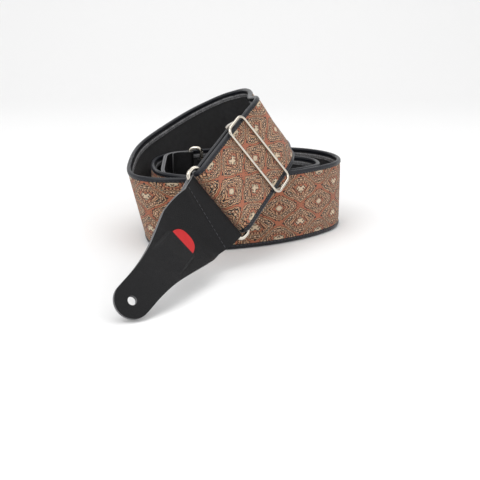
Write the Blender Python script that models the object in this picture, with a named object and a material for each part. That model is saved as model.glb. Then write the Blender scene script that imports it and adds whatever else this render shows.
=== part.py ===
"""Guitar strap: a padded band standing in a loose coil, with a slider, two rings and two leather end tabs.

Lengths are millimetres while the strap is laid out, and metres in the objects. +Z is up, and the
front tab points towards -Y.
"""

import math

import bmesh
import bpy
from mathutils import Matrix, Quaternion, Vector

MM = 0.001
GAP = 0.3
UP = Vector((0.0, 0.0, 1.0))

# The middle of the finished strap's box in layout millimetres, which becomes the origin.
LAYOUT_CENTRE = Vector((-3.0, 755.2, 0.0))

# Band: face fabric, padding and lining, with a bound edge and a hem strip along each side.
BAND_HALF = 34.0
EDGE_WIDTH = 4.0
EDGE_WALL = 1.2
EDGE_HALF_THICK = 2.2
FACE_THICK = 0.9
PAD_THICK = 1.4
HEM_WIDTH = 3.6
HEM_THICK = 0.5
HEM_GAP = 0.45
STATION_TURN = 12.0
STATION_LENGTH = 26.0

# The coil seen from above: from the front point it winds inwards, as (length, turn in degrees).
FRONT_POINT = Vector((-20.0, 748.5, BAND_HALF))
FRONT_HEADING = 12.0
COIL_RUNS = (
    (128, 40), (65, 60), (73, 66), (81, 23), (81, 67),
    (53, 17), (66, 84), (106, 34), (95, 151), (46, -22), (16, 0),
)

# The outer turn climbs over the coil: its middle line, and how far its top edge leans outwards.
CLIMB_ROWS = (
    (-77, 746, 34, 6), (-96, 770, 34, 15), (-99, 813, 40, 13), (-99, 860, 47, 9),
    (-74, 902, 60, 8), (-48, 936, 73, 8), (-15, 950, 87, 0), (3, 939, 94, -15),
    (21, 924, 102, -31), (32, 881, 105, -37), (27, 834, 102, -40),
)
ROW_STEP = 26.0
ROW_PARTS = 7

# The straight run that carries the slider: its front end, compass direction, slope and lean.
RUN_END = Vector((-11.0, 696.0, 61.0))
RUN_AZIMUTH = 63.0
RUN_SLOPE = 25.0
RUN_LEAN = -30.0
RUN_LENGTH = 87.0
TAIL_LENGTH = 66.0
BIGHT_RADIUS = 4.9

# Rings: one closed loop of wire each, measured to the middle of the wire.
RING_WIRE = 3.6
RING_HALF_LENGTH = 36.6
RING_CORNER = 4.6
RING_SPACING = 12.0
FRONT_RING_DROOP = 20.0
REAR_RING_SETBACK = 10.0

# Slider, measured back from the middle of the band's bight.
SLIDER_SETBACK = 62.0
SLIDER_WIRE = 3.0
SLIDER_HALF_LENGTH = 36.2
SLIDER_HALF_WIDTH = 13.5
SLIDER_CORNER = 6.0
SLIDER_LIFT = 4.1
BAR_WIDTH = 4.6
BAR_THICK = 1.8
BAR_DROP = 5.0
LOOP_THICK = 0.8
LOOP_HALF_WIDTH = 24.5
REAR_LOOP_THICK = 1.2
REAR_LOOP_HALF_WIDTH = 30.0
REAR_LOOP_RADIUS = 3.85
REAR_LOOP_REACH = 16.0

# Leather tabs: each is folded over its ring and backed, and narrows to a tongue with a button hole.
TAB_HALF = 33.0
TONGUE_HALF = 14.0
SHOULDER_START = 0.0
SHOULDER_END = 130.0
TAB_LEATHER = 1.7
TAB_BACKING = 1.4
TAB_FOLD_RADIUS = 3.05
TAB_FLAP = 20.0
TAB_STITCH_AT = 15.0
BUTTON_HOLE = 7.0
HOLE_FROM_TIP = 13.0
THREAD = 0.6
# Routes from the ring to the tip, as (length, bend to the back, twist, sway) in mm and degrees.
FRONT_TAB_RUNS = ((20, 10, 11, -7), (26, -26, -21, -1), (44, 0, 0, 0), (64, 35, -3, 3))
FRONT_TAB_DROOP = 0.0
REAR_TAB_RUNS = ((8, 0, 0, 0), (24, 98, 0, 0), (30, 0, 0, 0), (60, 84, 0, 0), (44, 0, 0, 0))

# Pick and its pocket: a slit across the tab, whose far lip bulges over the pick.
SLIT_AT = 62.0
SLIT_HALF = 15.0
LIP_RISE = 3.0
LIP_FLAT_HALF = 12.6
LIP_FLAT_END = 80.0
LIP_END = 97.0
PICK_THICK = 0.7
PICK_HALF_WIDTH = 11.8
PICK_OUT = 14.0
PICK_IN = 16.0

# Columns of corners across a tab: +-1 stand for its outline, the others are offsets in mm.
TAB_COLUMNS = (-1.0, -SLIT_HALF, -LIP_FLAT_HALF, 0.0, LIP_FLAT_HALF, SLIT_HALF, 1.0)

COLOURS = {
    "jacquard": ((0.36, 0.20, 0.11, 1.0), 0.85, 0.0),
    "foam": ((0.06, 0.06, 0.06, 1.0), 0.95, 0.0),
    "lining": ((0.02, 0.02, 0.02, 1.0), 0.9, 0.0),
    "edging": ((0.03, 0.03, 0.035, 1.0), 0.4, 0.0),
    "hem_tape": ((0.16, 0.16, 0.17, 1.0), 0.8, 0.0),
    "nickel": ((0.78, 0.74, 0.66, 1.0), 0.25, 1.0),
    "leather": ((0.025, 0.025, 0.025, 1.0), 0.55, 0.0),
    "thread": ((0.05, 0.05, 0.05, 1.0), 0.7, 0.0),
    "pick_red": ((0.62, 0.02, 0.02, 1.0), 0.5, 0.0),
}


class Place:
    """A place on a ribbon: its middle, its width direction, its running direction and its outer side."""

    def __init__(self, point, wide, along):
        self.point = point.copy()
        self.along = along.normalized()
        self.wide = (wide - self.along * wide.dot(self.along)).normalized()
        self.out = self.wide.cross(self.along)

    def at(self, x, z, y=0.0):
        return self.point + self.wide * x + self.along * y + self.out * z

    def moved(self, x, y, z):
        return Place(self.at(x, z, y), self.wide, self.along)

    def pitched(self, degrees):
        """The same place turned about its width, towards the back for positive degrees."""
        turn = Quaternion(self.wide, -math.radians(degrees))
        return Place(self.point, self.wide, turn @ self.along)

    def matrix(self):
        """Object axes: X across the width, Y along and Z out, at the final place in metres."""
        rows = Matrix((self.wide, self.along, self.out)).transposed().to_4x4()
        rows.translation = to_metres(self.point)
        return rows


def to_metres(point):
    return (point - LAYOUT_CENTRE) * MM


def ease(value):
    value = min(max(value, 0.0), 1.0)
    return value * value * (3.0 - 2.0 * value)


# ---------------------------------------------------------------- routes

def coil_places():
    """The coil from its inner end to the front point, standing on edge."""
    heading = math.radians(FRONT_HEADING)
    point = FRONT_POINT.copy()
    places = [Place(point, UP, -Vector((math.cos(heading), math.sin(heading), 0.0)))]
    for length, turn in COIL_RUNS:
        steps = math.ceil(length / 4.0)
        half_turn = math.radians(turn) / steps / 2.0
        for _ in range(steps):
            heading += half_turn
            point = point + Vector((math.cos(heading), math.sin(heading), 0.0)) * (length / steps)
            heading += half_turn
            places.append(Place(point, UP, -Vector((math.cos(heading), math.sin(heading), 0.0))))
    return places[::-1]


def run_direction():
    azimuth = math.radians(RUN_AZIMUTH)
    slope = math.radians(RUN_SLOPE)
    return Vector((-math.cos(slope) * math.cos(azimuth), -math.cos(slope) * math.sin(azimuth), -math.sin(slope)))


def leaning_place(point, along, lean):
    """A place whose top edge leans outwards from upright by lean degrees."""
    upright = (UP - along * UP.dot(along)).normalized()
    outward = upright.cross(along)
    tilt = math.radians(lean)
    return Place(point, upright * math.cos(tilt) + outward * math.sin(tilt), along)


def climb_places():
    """The outer turn, from the front point to the start of the straight run."""
    heading = math.radians(FRONT_HEADING)
    start = -Vector((math.cos(heading), math.sin(heading), 0.0)) * ROW_STEP
    along = run_direction()
    run_start = RUN_END - along * RUN_LENGTH
    rows = [(FRONT_POINT + start * k, 0.0) for k in (-1, 0, 1)]
    rows += [(Vector(row[:3]), row[3]) for row in CLIMB_ROWS]
    rows += [(run_start + along * ROW_STEP * k, RUN_LEAN) for k in (-1, 0, 1)]
    places = []
    for index in range(len(rows) - 3):
        for part in range(ROW_PARTS):
            u = part / ROW_PARTS
            weights = ((1 - u) ** 3, 3 * u ** 3 - 6 * u ** 2 + 4, -3 * u ** 3 + 3 * u ** 2 + 3 * u + 1, u ** 3)
            slopes = (-((1 - u) ** 2), 3 * u ** 2 - 4 * u, -3 * u ** 2 + 2 * u + 1, u ** 2)
            point = Vector((0.0, 0.0, 0.0))
            tangent = Vector((0.0, 0.0, 0.0))
            lean = 0.0
            for k in range(4):
                point += rows[index + k][0] * (weights[k] / 6.0)
                tangent += rows[index + k][0] * slopes[k]
                lean += rows[index + k][1] * weights[k] / 6.0
            places.append(leaning_place(point, tangent.normalized(), lean))
    return places[1:]


def run_place(setback):
    """A place on the straight run, this far before its front end."""
    along = run_direction()
    return leaning_place(RUN_END - along * setback, along, RUN_LEAN)


def straight_places():
    return [run_place(RUN_LENGTH * (1.0 - k / 10.0)) for k in range(11)]


def bight_places():
    """The half turn round the front ring's inner bar, and the first of the way back."""
    front = run_place(0.0)
    places = []
    for k in range(1, 13):
        angle = math.pi * k / 12.0
        y = BIGHT_RADIUS * math.sin(angle)
        z = -BIGHT_RADIUS * (1.0 - math.cos(angle))
        along = front.along * math.cos(angle) - front.out * math.sin(angle)
        places.append(Place(front.at(0.0, z, y), front.wide, along))
    last = places[-1]
    places.append(last.moved(0.0, 6.0, 0.0))
    return places


def tail_places():
    """The tail, under the straight run."""
    places = []
    for k in range(7):
        setback = 6.0 + GAP + (TAIL_LENGTH - 6.0 - GAP) * k / 6.0
        above = run_place(setback)
        places.append(Place(above.at(0.0, -2.0 * BIGHT_RADIUS), above.wide, -above.along))
    return places


def stations(places, turn=STATION_TURN, length=STATION_LENGTH):
    """Fewer places, close together only where the band bends."""
    kept = [places[0]]
    spent = 0.0
    for before, after in zip(places, places[1:]):
        bend = math.degrees(before.along.angle(after.along)) + math.degrees(before.wide.angle(after.wide))
        spent += bend / turn + (after.point - before.point).length / length
        if spent >= 1.0:
            kept.append(after)
            spent = 0.0
    if kept[-1] is not places[-1]:
        kept.append(places[-1])
    return kept


def tab_places(start, runs, step=4.0):
    """A leather tab's route: each run bends to the back, twists and sways evenly over its length."""
    place = start
    places = [place]
    for length, bend, twist, sway in runs:
        steps = math.ceil(length / step)
        for _ in range(steps):
            turn = (-place.wide * bend - place.along * twist + place.out * sway) * math.radians(1.0 / steps)
            half = Quaternion(turn.normalized(), turn.length / 2.0) if turn.length > 1e-9 else Quaternion()
            middle = half @ place.along
            point = place.point + middle * (length / steps)
            along = half @ middle
            wide = half @ (half @ place.wide)
            place = Place(point, wide, along)
            places.append(place)
    return places


def place_at(places, distance):
    """The place this far along a list of places."""
    gone = 0.0
    for before, after in zip(places, places[1:]):
        length = (after.point - before.point).length
        if gone + length >= distance:
            share = (distance - gone) / length
            return Place(
                before.point.lerp(after.point, share),
                before.wide.lerp(after.wide, share),
                before.along.lerp(after.along, share),
            )
        gone += length
    return places[-1].moved(0.0, distance - gone, 0.0)


# ---------------------------------------------------------------- objects

def start_scene():
    for item in list(bpy.data.objects):
        bpy.data.objects.remove(item, do_unlink=True)
    parts = bpy.data.collections.new("guitar_strap")
    cutters = bpy.data.collections.new("cutters")
    bpy.context.scene.collection.children.link(parts)
    bpy.context.scene.collection.children.link(cutters)
    return parts, cutters


def material(name):
    found = bpy.data.materials.get(name)
    if found:
        return found
    colour, roughness, metallic = COLOURS[name]
    made = bpy.data.materials.new(name)
    made.use_nodes = True
    shader = made.node_tree.nodes["Principled BSDF"]
    shader.inputs["Base Color"].default_value = colour
    shader.inputs["Roughness"].default_value = roughness
    shader.inputs["Metallic"].default_value = metallic
    made.diffuse_color = colour
    return made


def empty_at(name, matrix, parts):
    axis = bpy.data.objects.new(name, None)
    axis.empty_display_size = 0.02
    axis.matrix_world = matrix
    parts.objects.link(axis)
    return axis


def adopt(child, parent):
    """Parents a piece and keeps it where it is."""
    bpy.context.view_layer.update()
    child.parent = parent
    child.matrix_parent_inverse = parent.matrix_world.inverted()
    return child


def mesh_object(name, shape, finish, parts):
    """Turns a bmesh in layout millimetres into an object in metres."""
    bmesh.ops.recalc_face_normals(shape, faces=shape.faces)
    for vertex in shape.verts:
        vertex.co = to_metres(vertex.co)
    mesh = bpy.data.meshes.new(name)
    shape.to_mesh(mesh)
    shape.free()
    mesh.materials.append(material(finish))
    mesh.shade_smooth()
    mesh.set_sharp_from_angle(angle=math.radians(35.0))
    made = bpy.data.objects.new(name, mesh)
    parts.objects.link(made)
    return made


def loft(name, places, outline, finish, parts):
    """A closed solid with one (x, z) outline at every place, and flat ends."""
    shape = bmesh.new()
    rings = [[shape.verts.new(place.at(x, z)) for x, z in outline] for place in places]
    count = len(outline)
    for before, after in zip(rings, rings[1:]):
        for k in range(count):
            skin(shape, before, after, k, (k + 1) % count, outline[k][0] <= outline[(k + 1) % count][0])
    shape.faces.new(rings[0][::-1])
    shape.faces.new(rings[-1])
    return mesh_object(name, shape, finish, parts)


def skin(shape, before, after, k, j, rising):
    """Two triangles between places, split the same way on both sides of a layer."""
    if rising:
        shape.faces.new((before[k], before[j], after[j]))
        shape.faces.new((before[k], after[j], after[k]))
    else:
        shape.faces.new((before[k], before[j], after[k]))
        shape.faces.new((before[j], after[j], after[k]))


def flat_curve(name, points, half_depth, finish, matrix, parts, smooth=False):
    """A flat outline in millimetres, extruded both ways, on the given axes."""
    curve = bpy.data.curves.new(name, "CURVE")
    curve.dimensions = "2D"
    curve.fill_mode = "BOTH"
    curve.extrude = half_depth * MM
    if smooth:
        spline = curve.splines.new("BEZIER")
        spline.bezier_points.add(len(points) - 1)
        for knot, (x, y) in zip(spline.bezier_points, points):
            knot.co = (x * MM, y * MM, 0.0)
            knot.handle_left_type = "AUTO"
            knot.handle_right_type = "AUTO"
        spline.resolution_u = 8
    else:
        spline = curve.splines.new("POLY")
        spline.points.add(len(points) - 1)
        for knot, (x, y) in zip(spline.points, points):
            knot.co = (x * MM, y * MM, 0.0, 1.0)
    spline.use_cyclic_u = True
    curve.materials.append(material(finish))
    made = bpy.data.objects.new(name, curve)
    made.matrix_world = matrix
    parts.objects.link(made)
    return made


def wire_curve(name, points, diameter, finish, matrix, parts, closed=True):
    """A wire through points in millimetres on the given axes."""
    curve = bpy.data.curves.new(name, "CURVE")
    curve.dimensions = "3D"
    curve.bevel_depth = diameter / 2.0 * MM
    curve.bevel_resolution = 2
    curve.use_fill_caps = not closed
    spline = curve.splines.new("POLY")
    spline.points.add(len(points) - 1)
    for knot, (x, y, z) in zip(spline.points, points):
        knot.co = (x * MM, y * MM, z * MM, 1.0)
    spline.use_cyclic_u = closed
    curve.materials.append(material(finish))
    made = bpy.data.objects.new(name, curve)
    made.matrix_world = matrix
    parts.objects.link(made)
    return made


def side_matrix(place):
    """Axes for an outline drawn in the along-out plane and extruded across the width."""
    rows = Matrix((place.along, place.out, place.wide)).transposed().to_4x4()
    rows.translation = to_metres(place.point)
    return rows


def cross_matrix(place):
    """Axes for an outline drawn in the width-out plane and extruded along the run."""
    rows = Matrix((place.wide, place.out, -place.along)).transposed().to_4x4()
    rows.translation = to_metres(place.point)
    return rows


def strip_outline(path, thick):
    """The outline of a strip of even thickness along a path of (y, z) points."""
    left = []
    right = []
    for k, (y, z) in enumerate(path):
        before = path[max(k - 1, 0)]
        after = path[min(k + 1, len(path) - 1)]
        dy = after[0] - before[0]
        dz = after[1] - before[1]
        size = math.hypot(dy, dz)
        left.append((y - dz / size * thick / 2.0, z + dy / size * thick / 2.0))
        right.append((y + dz / size * thick / 2.0, z - dy / size * thick / 2.0))
    return left + right[::-1]


def arc(centre, radius, start, end, steps):
    """Points on an arc, by angles in degrees."""
    points = []
    for k in range(steps + 1):
        angle = math.radians(start + (end - start) * k / steps)
        points.append((centre[0] + radius * math.cos(angle), centre[1] + radius * math.sin(angle)))
    return points


# ---------------------------------------------------------------- band

def make_band(parts):
    places = stations(coil_places() + climb_places() + straight_places() + bight_places())
    pad_top = PAD_THICK / 2.0
    face_low = pad_top + GAP
    inner = BAND_HALF - EDGE_WIDTH - GAP
    loft("band_padding", places, box_outline(BAND_HALF - EDGE_WALL - 0.4, -pad_top, pad_top), "foam", parts)
    loft("band_face_fabric", places, box_outline(inner, face_low, face_low + FACE_THICK), "jacquard", parts)
    loft("band_lining", places, box_outline(inner, -face_low - FACE_THICK, -face_low), "lining", parts)
    hem_top = -face_low - FACE_THICK - HEM_GAP
    hem_low = hem_top - HEM_THICK
    hem_out = inner - 0.6
    hem_in = hem_out - HEM_WIDTH
    for side, word in ((1.0, "upper"), (-1.0, "lower")):
        hem = ((hem_in, hem_top), (hem_out, hem_top), (hem_out, hem_low), (hem_in, hem_low))
        loft("hem_strip_" + word, places, mirrored(hem, side), "hem_tape", parts)
        loft("bound_edge_" + word, places, mirrored(edge_outline(), side), "edging", parts)
    tail = tail_places()
    thick = face_low + FACE_THICK
    loft("band_tail", tail, box_outline(BAND_HALF, -thick, thick), "jacquard", parts)


def box_outline(half, low, high):
    return ((-half, low), (half, low), (half, high), (-half, high))


def mirrored(outline, side):
    return tuple((x * side, z) for x, z in outline)


def edge_outline():
    """A strip of edging rolled over the band's rim."""
    root = BAND_HALF - EDGE_WIDTH
    floor = BAND_HALF - EDGE_WALL
    half = EDGE_HALF_THICK
    slot = half - EDGE_WALL
    return (
        (root, half), (BAND_HALF - 0.7, half), (BAND_HALF, half - 0.7), (BAND_HALF, 0.7 - half),
        (BAND_HALF - 0.7, -half), (root, -half), (root, -slot), (floor, -slot), (floor, slot), (root, slot),
    )


# ---------------------------------------------------------------- metal

def rounded_loop(half_length, half_width, radius, steps=5):
    """A rounded rectangle of (x, y, 0) points, long way on X."""
    points = []
    for corner in range(4):
        sx = 1.0 if corner in (0, 3) else -1.0
        sy = 1.0 if corner in (0, 1) else -1.0
        centre = (sx * (half_length - radius), sy * (half_width - radius))
        for x, y in arc(centre, radius, 90.0 * corner, 90.0 * (corner + 1), steps):
            points.append((x, y, 0.0))
    return points


def ring_wire(name, bar_place, parts):
    """A ring whose first bar lies at the place and whose second bar lies further along."""
    half_width = RING_SPACING / 2.0
    points = [(x, y + half_width, z) for x, y, z in rounded_loop(RING_HALF_LENGTH, half_width, RING_CORNER, 6)]
    return wire_curve(name, points, RING_WIRE, "nickel", bar_place.matrix(), parts)


def make_slider(parts):
    place = run_place(SLIDER_SETBACK)
    axis = empty_at("slider_axis", place.matrix(), parts)
    frame_points = rounded_loop(SLIDER_HALF_LENGTH, SLIDER_HALF_WIDTH, SLIDER_CORNER)
    lifted = place.moved(0.0, 0.0, SLIDER_LIFT)
    frame = wire_curve("slider_frame", frame_points, SLIDER_WIRE, "nickel", lifted.matrix(), parts)
    adopt(frame, axis)

    top = SLIDER_LIFT - SLIDER_WIRE / 2.0 - GAP
    outer = SLIDER_HALF_LENGTH + BAR_THICK / 2.0
    inner = outer - BAR_THICK
    low = -BAR_DROP - BAR_THICK / 2.0
    floor = low + BAR_THICK
    outline = [(-outer, top), (-inner, top), (-inner, floor), (inner, floor), (inner, top), (outer, top)]
    outline += [(outer, low), (-outer, low)]
    bar = flat_curve("slider_center_bar", outline, BAR_WIDTH / 2.0, "nickel", cross_matrix(place), parts)
    adopt(bar, axis)

    leg = BAR_THICK / 2.0 + GAP + LOOP_THICK / 2.0
    bend_at = -(BAR_WIDTH / 2.0 - 0.2)
    path = [(18.0, -BAR_DROP - leg), (bend_at, -BAR_DROP - leg)]
    path += arc((bend_at, -BAR_DROP), leg, 250.0, 110.0, 7)
    path += [(BAR_WIDTH / 2.0 + 0.6, -BAR_DROP + leg), (7.6, -BAR_DROP - leg + LOOP_THICK + 0.1)]
    path += [(18.0, -BAR_DROP - leg + LOOP_THICK + 0.1)]
    outline = strip_outline(path, LOOP_THICK)
    loop = flat_curve("slider_end_loop", outline, LOOP_HALF_WIDTH, "edging", side_matrix(place), parts)
    adopt(loop, axis)


# ---------------------------------------------------------------- leather

def tab_half_width(distance, length):
    """The tab's outline: full width at the fold, hollow shoulders, then a tongue with a round end."""
    share = ease((distance - SHOULDER_START) / (SHOULDER_END - SHOULDER_START))
    half = TAB_HALF + (TONGUE_HALF - TAB_HALF) * share
    past = distance - (length - TONGUE_HALF)
    if past > 0.0:
        half = math.sqrt(max(TONGUE_HALF ** 2 - past ** 2, 0.04))
    return half


def tip_distances(length):
    """Distances that follow the round end of the tongue."""
    return [length - TONGUE_HALF + TONGUE_HALF * math.sin(math.radians(angle)) for angle in (15, 30, 45, 60, 72, 82)]


def tab_distances(length, pocket):
    """Where a tab's leathers have their stations, with a pair at the pocket's slit."""
    if pocket:
        spans = [4, 8, 12, 16, 20, 28, 37, 46, 54, SLIT_AT, SLIT_AT, 71, LIP_FLAT_END, 86, 91, LIP_END]
        spans += [106, 114, 122, 130]
    else:
        spans = range(4, 160, 4)
    return [float(d) for d in spans if d < length - TONGUE_HALF] + tip_distances(length)


def column_offset(column, distance, length):
    """How far a column of corners lies from the tab's middle line: the outer ones follow the outline."""
    half = tab_half_width(distance, length)
    if abs(column) == 1.0:
        return half * column
    return column * min(1.0, (half - 0.8) / (SLIT_HALF + 0.8))


def face_height(distance):
    """The face leather's middle: it comes down from the fold to lie on the backing."""
    low = TAB_LEATHER / 2.0 + GAP / 2.0
    return TAB_FOLD_RADIUS + (low - TAB_FOLD_RADIUS) * ease(distance / 16.0)


def lip_rise(x, distance):
    """How far the pocket's lip stands up over the pick."""
    if distance < SLIT_AT or distance > LIP_END:
        return 0.0
    across = 1.0 - ease((abs(x) - LIP_FLAT_HALF) / (SLIT_HALF - LIP_FLAT_HALF))
    down = 1.0 - ease((distance - LIP_FLAT_END) / (LIP_END - LIP_FLAT_END))
    return LIP_RISE * across * down


def face_leather(name, route, length, parts, pocket):
    """The face leather: a flap behind the ring, the fold round its bar, then the face down to the tip."""
    rows = [(TAB_FLAP * share, -TAB_FOLD_RADIUS) for share in (1.0, 0.8, 0.6, 0.4, 0.2)]
    rows += arc((0.0, 0.0), TAB_FOLD_RADIUS, 270.0, 90.0, 8)
    rows += [(distance, face_height(distance)) for distance in tab_distances(length, pocket)]
    slit_row = [k for k, row in enumerate(rows) if row[0] == SLIT_AT][0] if pocket else len(rows)
    columns = TAB_COLUMNS

    def normal(k):
        before = rows[max(k - 1, 0)]
        after = rows[min(k + 1, len(rows) - 1)]
        dy = after[0] - before[0]
        dz = after[1] - before[1]
        size = math.hypot(dy, dz) or 1.0
        return -dz / size, dy / size

    def spot(k, column, side):
        distance, height = rows[k]
        x = column_offset(column, max(distance, 0.0), length)
        rise = lip_rise(x, distance) if pocket and k > slit_row else 0.0
        ny, nz = normal(k)
        along = distance + ny * side * TAB_LEATHER / 2.0
        out = height + nz * side * TAB_LEATHER / 2.0 + rise
        place = place_at(route, max(along, 0.0))
        return place.at(x, out, min(along, 0.0))

    shape = bmesh.new()
    last = len(columns) - 1
    grids = []
    for side in (-1.0, 1.0):
        grid = []
        for k in range(len(rows)):
            line = []
            for c, column in enumerate(columns):
                if k == slit_row + 1 and c not in range(2, last - 1):
                    line.append(grid[slit_row][c])
                else:
                    line.append(shape.verts.new(spot(k, column, side)))
            grid.append(line)
        grids.append(grid)
    leather_skins(shape, grids[0], grids[1], slit_row)
    if pocket:
        # The slit's two walls: the near one belongs to the ring side, the far one to the lip.
        low, high = grids
        for c in range(1, last - 1):
            for k in (slit_row, slit_row + 1):
                shape.faces.new((low[k][c], low[k][c + 1], high[k][c + 1], high[k][c]))
    return mesh_object(name, shape, "leather", parts)


def leather_skins(shape, low, high, slit_row=-1):
    """Closes a leather between its two grids of corners, with every pair of triangles split the same way."""
    last = len(low[0]) - 1
    for k in range(len(low) - 1):
        if k == slit_row:
            continue
        for c in range(last):
            for grid in (low, high):
                shape.faces.new((grid[k][c], grid[k + 1][c], grid[k + 1][c + 1]))
                shape.faces.new((grid[k][c], grid[k + 1][c + 1], grid[k][c + 1]))
        for c in (0, last):
            shape.faces.new((low[k][c], high[k][c], high[k + 1][c], low[k + 1][c]))
    for k in (0, len(low) - 1):
        for c in range(last):
            shape.faces.new((low[k][c], low[k][c + 1], high[k][c + 1], high[k][c]))


def backing_leather(name, route, length, parts, pocket):
    """The backing: the same outline as the face, starting just past the ring's bar."""
    top = -GAP / 2.0
    shape = bmesh.new()
    grids = [[], []]
    for distance in sorted(set(tab_distances(length, pocket))):
        place = place_at(route, distance)
        line = [column_offset(column, distance, length) for column in TAB_COLUMNS]
        grids[0].append([shape.verts.new(place.at(x, top - TAB_BACKING)) for x in line])
        grids[1].append([shape.verts.new(place.at(x, top)) for x in line])
    leather_skins(shape, grids[0], grids[1])
    return mesh_object(name, shape, "leather", parts)


def cut_button_hole(pieces, route, length, cutters, word):
    """One round hole through both leathers of a tab."""
    place = place_at(route, length - HOLE_FROM_TIP)
    bpy.ops.mesh.primitive_cylinder_add(vertices=24, radius=BUTTON_HOLE / 2.0 * MM, depth=12.0 * MM)
    cutter = bpy.context.active_object
    cutter.name = word + "_hole_cutter"
    cutter.matrix_world = place.matrix()
    cutter.display_type = "WIRE"
    cutter.hide_render = True
    for owner in list(cutter.users_collection):
        owner.objects.unlink(cutter)
    cutters.objects.link(cutter)
    for piece in pieces:
        cut = piece.modifiers.new("button_hole", "BOOLEAN")
        cut.object = cutter
        cut.operation = "DIFFERENCE"


def stitching(name, route, distance, parts):
    """A row of thread across the tab, just proud of the leather."""
    place = place_at(route, distance)
    height = face_height(distance) + TAB_LEATHER / 2.0 + GAP + THREAD / 2.0
    half = TAB_HALF - 3.0
    points = [(-half + half * k / 4.0, 0.0, height) for k in range(9)]
    return wire_curve(name, points, THREAD, "thread", place.matrix(), parts, closed=False)


def make_tab(word, bar_place, runs, parts, cutters, pocket):
    """A tab that hangs from the ring bar at the place, with its joint empty on that bar."""
    route = tab_places(bar_place, runs)
    length = float(sum(run[0] for run in runs))
    axis = empty_at(word + "_tab_axis", bar_place.matrix(), parts)
    face = face_leather(word + "_tab_face", route, length, parts, pocket)
    backing = backing_leather(word + "_tab_backing", route, length, parts, pocket)
    cut_button_hole((face, backing), route, length, cutters, word)
    thread = stitching(word + "_tab_stitching", route, TAB_STITCH_AT, parts)
    for piece in (face, backing, thread):
        adopt(piece, axis)
    return route, axis


def make_pick(route, tab_axis, parts):
    """The pick, half inside the pocket and half out."""
    height = face_height(SLIT_AT) + TAB_LEATHER / 2.0 + 0.25 + PICK_THICK / 2.0
    place = place_at(route, SLIT_AT).moved(0.0, 0.0, height)
    points = [(0.0, -PICK_OUT), (PICK_HALF_WIDTH * 0.8, -PICK_OUT * 0.75), (PICK_HALF_WIDTH, -PICK_OUT * 0.3)]
    points += [(PICK_HALF_WIDTH * 0.72, PICK_IN * 0.5), (0.0, PICK_IN)]
    points += [(-x, y) for x, y in points[3:0:-1]]
    pick = flat_curve("pick", points, PICK_THICK / 2.0, "pick_red", place.matrix(), parts, smooth=True)
    adopt(pick, tab_axis)


# ---------------------------------------------------------------- assembly

def make_front_end(parts, cutters):
    """The front ring in the band's bight, and the tab with the pick."""
    inner_bar = run_place(0.0).moved(0.0, 0.0, -BIGHT_RADIUS).pitched(FRONT_RING_DROOP)
    ring_axis = empty_at("front_ring_axis", inner_bar.matrix(), parts)
    ring = adopt(ring_wire("front_ring", inner_bar, parts), ring_axis)
    outer_bar = inner_bar.moved(0.0, RING_SPACING, 0.0)
    hanging = outer_bar.pitched(FRONT_TAB_DROOP - FRONT_RING_DROOP)
    route, tab_axis = make_tab("front", hanging, FRONT_TAB_RUNS, parts, cutters, True)
    adopt(tab_axis, ring)
    make_pick(route, tab_axis, parts)


def make_rear_end(parts, cutters):
    """The rear ring, the loop that holds it on the band's inner end, and the rear tab."""
    band_end = coil_places()[0]
    bar = band_end.moved(0.0, -REAR_RING_SETBACK, 0.0)
    leg = REAR_LOOP_RADIUS
    reach = REAR_RING_SETBACK + REAR_LOOP_REACH
    path = [(reach, -leg)]
    path += arc((0.0, 0.0), leg, 270.0, 90.0, 10)
    path += [(reach, leg)]
    outline = strip_outline(path, REAR_LOOP_THICK)
    flat_curve("rear_end_loop", outline, REAR_LOOP_HALF_WIDTH, "leather", side_matrix(bar), parts)

    # The ring is longer than the band is wide, so it stands on the floor beside the band's rim.
    lift = RING_HALF_LENGTH + RING_WIRE / 2.0 - BAND_HALF
    away = Place(bar.point + UP * lift, -bar.wide, -bar.along)
    ring_axis = empty_at("rear_ring_axis", away.matrix(), parts)
    ring = adopt(ring_wire("rear_ring", away, parts), ring_axis)
    outer_bar = away.moved(0.0, RING_SPACING, 0.0)
    _, tab_axis = make_tab("rear", outer_bar, REAR_TAB_RUNS, parts, cutters, False)
    adopt(tab_axis, ring)


def main():
    parts, cutters = start_scene()
    make_band(parts)
    make_slider(parts)
    make_front_end(parts, cutters)
    make_rear_end(parts, cutters)
    bpy.context.view_layer.update()


main()
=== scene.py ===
"""Guitar strap: woven band in a loose coil, with bound edges, slider, rings, leather tabs and a pick.

The strap is laid out in millimetres and built in metres round the frame's CAD bodies.
"""

import math

import bmesh
import bpy
from bpy.props import FloatProperty, FloatVectorProperty, PointerProperty
from mathutils import Matrix, Quaternion, Vector


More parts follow.
